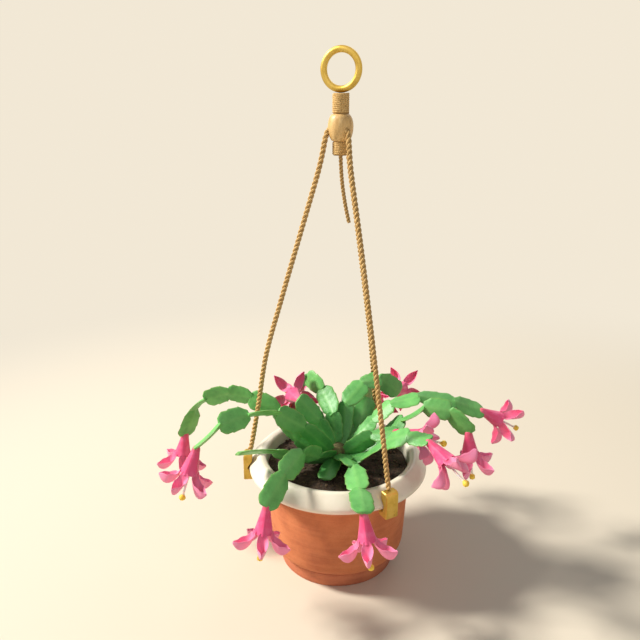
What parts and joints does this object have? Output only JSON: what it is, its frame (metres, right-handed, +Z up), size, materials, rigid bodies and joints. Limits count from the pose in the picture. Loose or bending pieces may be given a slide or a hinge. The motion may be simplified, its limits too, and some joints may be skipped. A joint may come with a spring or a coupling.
{
  "type": "hanging potted christmas cactus",
  "caption": "Flowering christmas cactus with arching flat-jointed stems and pink blooms in a round pot with saucer and rim, hung on cords from a ring and bead.",
  "frame": {"origin": "the point the pot hangs from: the inner top of the brass ring, above the pot's own axis", "axes": "+Z up along the pot's axis, -Y towards the side the picture was taken from, +X to that view's right"},
  "size_m": [0.3358, 0.2416, 0.444],
  "materials": {
    "terracotta": "fired terracotta, matt",
    "saucer_clay": "darker terracotta, matt",
    "cream_glaze": "cream glaze, satin",
    "potting_soil": "dark crumbly peat compost",
    "crown_wood": "woody corky plant base",
    "brass": "satin brass",
    "jute": "twisted tan rope",
    "bead_wood": "plain turned wood",
    "cladode_green": "waxy green leaf skin",
    "petal_pink": "pink petal tissue",
    "stigma_yellow": "pollen-yellow tip on a pale style"
  },
  "bodies": {
    "root": {"pot": "terracotta", "saucer": "saucer_clay", "rim_band": "cream_glaze", "soil": "potting_soil", "crown": "crown_wood", "hanging_ring": "brass", "upper_collar": "jute", "bead": "bead_wood", "lower_sleeve": "jute", "cord_left": "jute", "cord_front": "jute", "cord_back": "jute", "cord_tail": "jute", "clip_left": "brass", "clip_front": "brass", "clip_back": "brass", "stem_a": "cladode_green", "stem_b": "cladode_green", "stem_d": "cladode_green", "stem_e": "cladode_green", "stem_g": "cladode_green", "stem_h": "cladode_green", "stem_j": "cladode_green", "stem_k": "cladode_green", "stem_l": "cladode_green", "stem_p": "cladode_green", "stem_q": "cladode_green", "stem_r": "cladode_green", "stem_u": "cladode_green", "stem_v": "cladode_green", "stem_m": "cladode_green", "stem_f": "cladode_green", "flower_a": "petal_pink", "flower_b": "petal_pink", "flower_e": "petal_pink", "flower_g": "petal_pink", "flower_h": "petal_pink", "flower_j": "petal_pink", "flower_k": "petal_pink", "flower_l": "petal_pink", "flower_p": "petal_pink", "flower_q": "petal_pink", "flower_u": "petal_pink", "flower_m": "petal_pink", "pistil_a": "stigma_yellow", "pistil_b": "stigma_yellow", "pistil_e": "stigma_yellow", "pistil_g": "stigma_yellow", "pistil_h": "stigma_yellow", "pistil_j": "stigma_yellow", "pistil_k": "stigma_yellow", "pistil_l": "stigma_yellow", "pistil_p": "stigma_yellow", "pistil_q": "stigma_yellow", "pistil_u": "stigma_yellow", "pistil_m": "stigma_yellow"}
  },
  "joints": []
}
